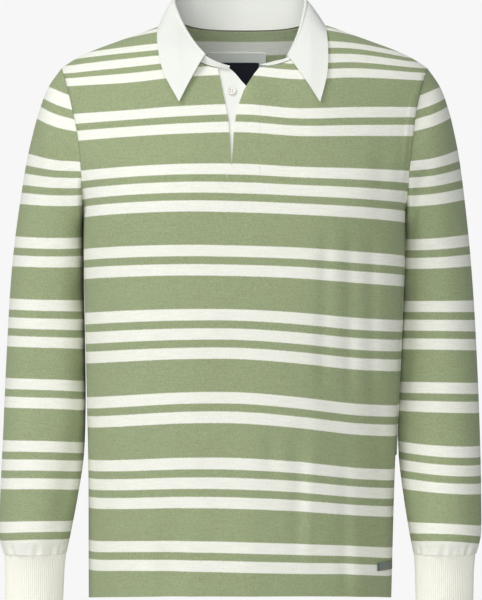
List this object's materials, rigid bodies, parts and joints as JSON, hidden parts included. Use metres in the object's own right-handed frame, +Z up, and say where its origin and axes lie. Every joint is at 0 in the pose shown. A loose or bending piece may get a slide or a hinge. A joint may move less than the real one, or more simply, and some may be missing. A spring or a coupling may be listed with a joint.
{
  "type": "rugby polo sweater",
  "caption": "Long-sleeved knitted polo sweater, hollow and filled out as worn, with a turned-down woven collar, an open buttoned neck slit, ribbed cuffs and a plain hem.",
  "frame": {"origin": "inside the neck, on the mid-plane between front and back, level with the top of the shoulder seams", "axes": "+Z up the body from hem to collar, +Y towards the back, +X towards the sleeve on the viewer's right when the front is seen"},
  "size_m": [0.6057, 0.2557, 0.769],
  "materials": {
    "knit": "matte striped knit",
    "rib": "matte ribbed knit",
    "shirting": "matte plain weave",
    "button": "semi-gloss",
    "patch": "matte plain weave",
    "label": "matte satin weave",
    "tab": "matte twill tape"
  },
  "bodies": {
    "root": {"front": "knit", "back": "knit", "sleeve_left": "knit", "sleeve_right": "knit", "cuff_left": "rib", "cuff_right": "rib", "collar_stand": "shirting", "collar_leaf": "shirting", "placket_underlap": "shirting", "neck_button": "button", "neck_patch": "patch", "neck_label": "label", "hem_tab": "tab"}
  },
  "joints": []
}
